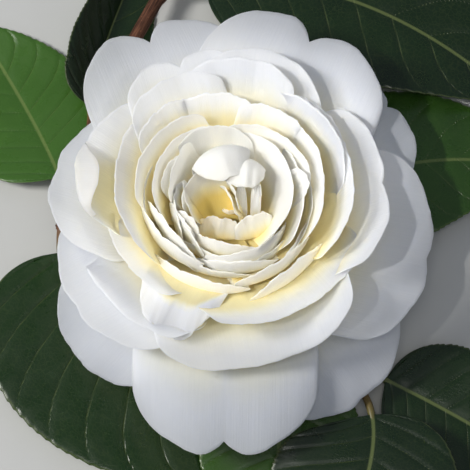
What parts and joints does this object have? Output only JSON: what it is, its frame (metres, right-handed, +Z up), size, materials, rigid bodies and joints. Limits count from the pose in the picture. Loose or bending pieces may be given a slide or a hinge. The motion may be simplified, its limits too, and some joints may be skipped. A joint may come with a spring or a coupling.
{
  "type": "cut camellia sprig with one large white double bloom",
  "caption": "Cut camellia sprig lying flat: a large white double bloom with overlapping petals, facing up, on a woody twig with broad glossy leaves.",
  "frame": {"origin": "centre of the sprig's footprint, on the level surface that it lies on", "axes": "+Z up, the way the bloom faces; +Y towards the twig's cut end; +X to the right of the bloom"},
  "size_m": [0.174, 0.2274, 0.0481],
  "materials": {
    "petal": "soft satin white, cream towards the bloom's heart",
    "sepal": "matt olive green scales",
    "bark": "matt red-brown bark with fine lengthwise cracks",
    "young_bark": "smooth green-brown young bark",
    "leaf": "glossy dark green with pale veins"
  },
  "bodies": {
    "root": {"bloom": "petal", "calyx": "sepal", "twig": "bark", "shoot": "young_bark", "leaf_front_left": "leaf", "leaf_front_middle": "leaf", "leaf_front_right": "leaf", "leaf_right_low": "leaf", "leaf_right": "leaf", "leaf_back_right": "leaf", "leaf_back_left": "leaf", "leaf_left": "leaf"}
  },
  "joints": []
}
